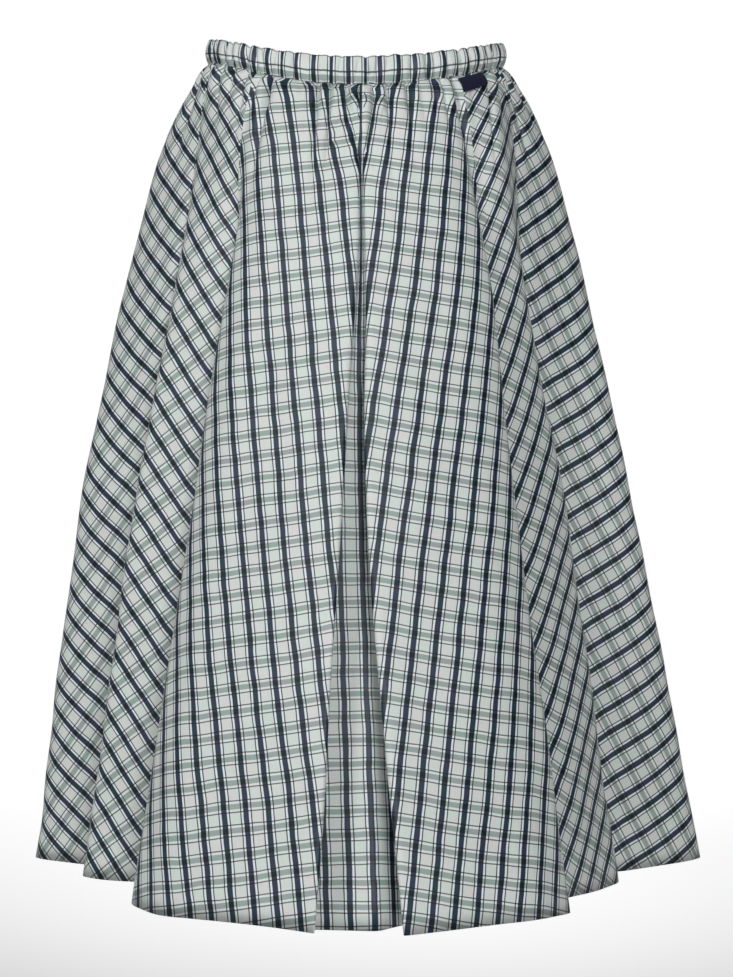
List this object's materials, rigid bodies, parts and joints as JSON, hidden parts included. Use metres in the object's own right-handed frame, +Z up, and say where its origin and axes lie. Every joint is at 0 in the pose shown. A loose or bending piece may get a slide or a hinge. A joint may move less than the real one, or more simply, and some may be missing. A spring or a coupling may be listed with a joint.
{
  "type": "midi skirt",
  "caption": "Flared midi skirt in fine checked cotton with a gathered elastic waist, a soft inverted pleat at the centre front and deep hanging folds, in its worn hollow form.",
  "frame": {"origin": "centre of the wearer's waist, inside the waistband", "axes": "+Z up, the front of the skirt faces -Y, +X is to the right as seen from in front"},
  "size_m": [0.5992, 0.5417, 0.7429],
  "materials": {
    "check_cloth": "matt cotton poplin woven in a fine check of navy and grey-green on off-white",
    "tag_cloth": "dark navy woven tape, no lettering"
  },
  "bodies": {
    "root": {"front": "check_cloth", "back": "check_cloth", "waistband": "check_cloth", "tag": "tag_cloth"}
  },
  "joints": []
}
